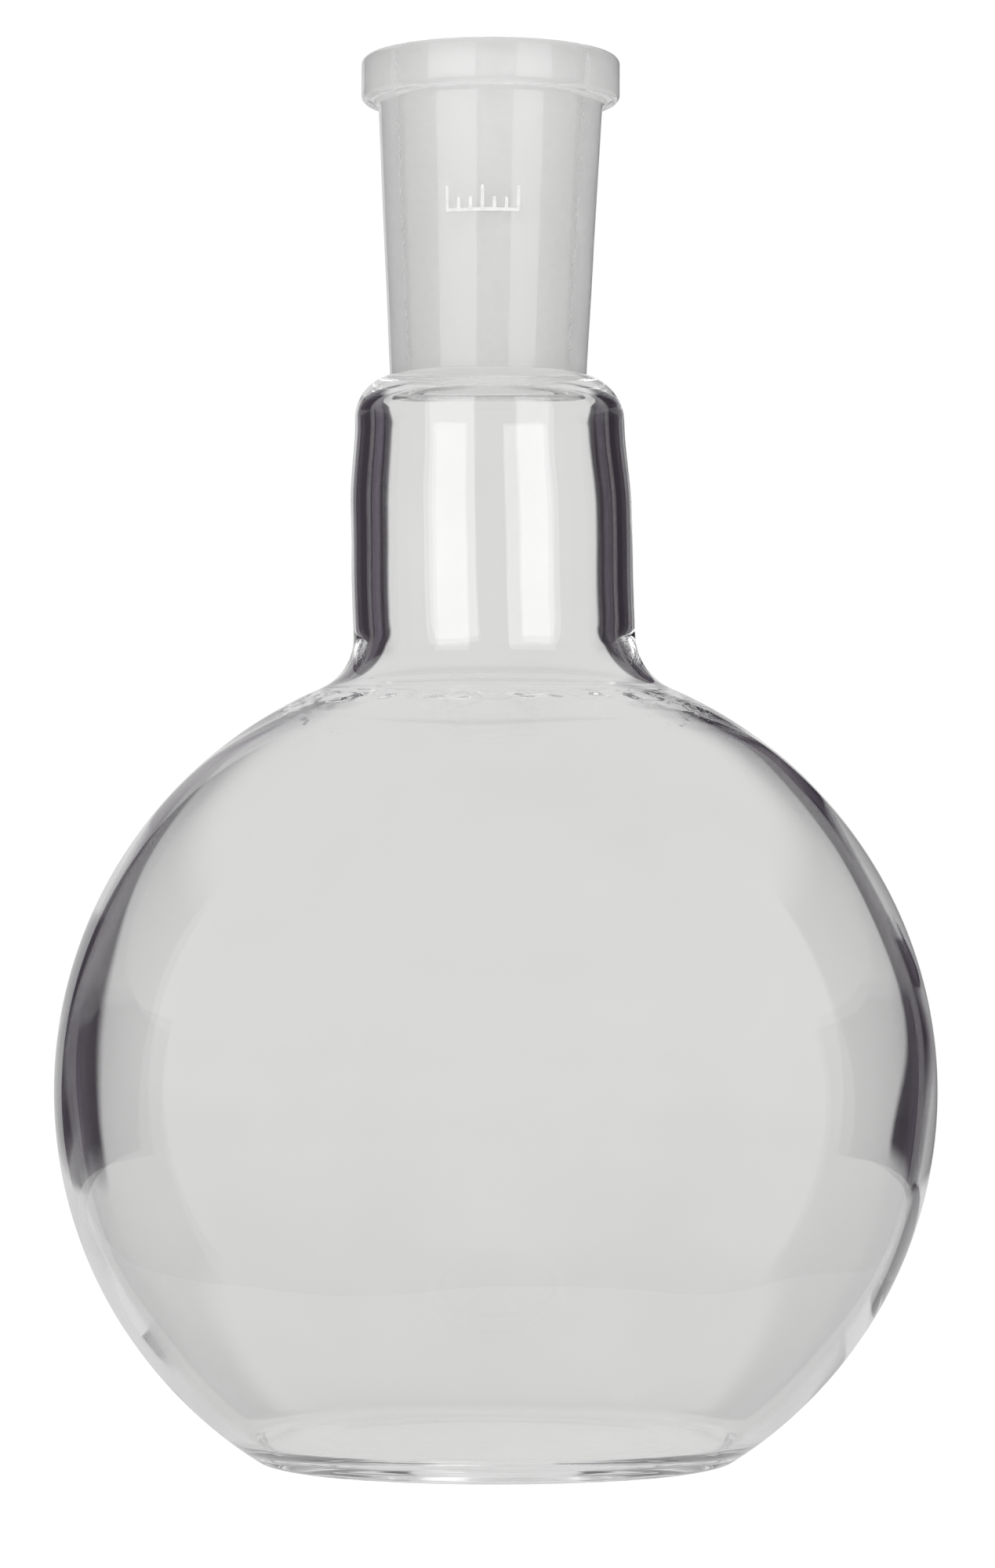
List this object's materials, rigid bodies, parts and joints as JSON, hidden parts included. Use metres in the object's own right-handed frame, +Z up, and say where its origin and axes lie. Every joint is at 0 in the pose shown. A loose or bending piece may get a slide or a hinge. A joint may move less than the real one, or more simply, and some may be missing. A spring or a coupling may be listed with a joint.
{
  "type": "flat-bottom boiling flask",
  "caption": "Clear glass boiling flask with a spherical bulb, flat base, short neck and a tapered ground-glass socket with a collar.",
  "frame": {"origin": "centre of the circle that the flat base rests on", "axes": "+Z up along the flask's axis, from the base to the mouth; the size mark is on the -Y side"},
  "size_m": [0.1098, 0.1098, 0.1754],
  "materials": {
    "clear_glass": "clear polished borosilicate glass",
    "ground_glass": "clear outside, finely ground inside",
    "white_enamel": "fired white enamel"
  },
  "bodies": {
    "root": {"bulb": "clear_glass", "neck_tube": "clear_glass", "ground_joint": "ground_glass", "size_mark": "white_enamel"}
  },
  "joints": []
}
